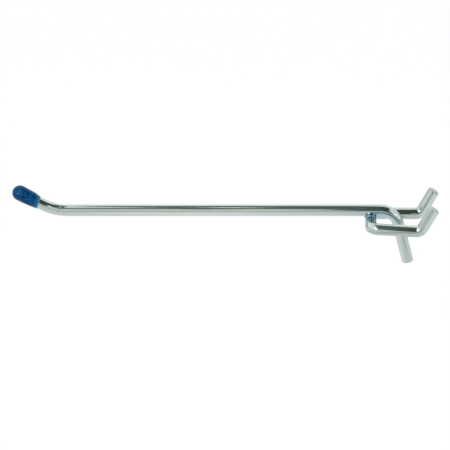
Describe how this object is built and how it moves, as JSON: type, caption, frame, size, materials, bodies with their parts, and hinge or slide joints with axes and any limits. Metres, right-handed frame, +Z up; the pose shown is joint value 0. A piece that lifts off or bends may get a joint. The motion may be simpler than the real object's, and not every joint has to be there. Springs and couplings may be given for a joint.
{
  "type": "pegboard hook",
  "caption": "Plated wire pegboard hook: straight arm with an upturned vinyl-capped tip, a slanting brace leg and a welded cross staple whose prongs turn up behind the board.",
  "frame": {"origin": "on the front face of the board, midway between the holes that take the prongs, at the height of the prongs' axes where they pass into the board", "axes": "+X back into the board, along the arm from its tip to the board; +Y across the board; +Z up"},
  "size_m": [0.2079, 0.0324, 0.0399],
  "materials": {
    "plated_steel": "bright zinc plate over drawn steel wire, fine die lines along the wire",
    "blue_vinyl": "dip-moulded blue vinyl, satin, thinner and paler at the mouth"
  },
  "bodies": {
    "root": {"hook_wire": "plated_steel", "prong_wire": "plated_steel", "tip_cap": "blue_vinyl"}
  },
  "joints": []
}
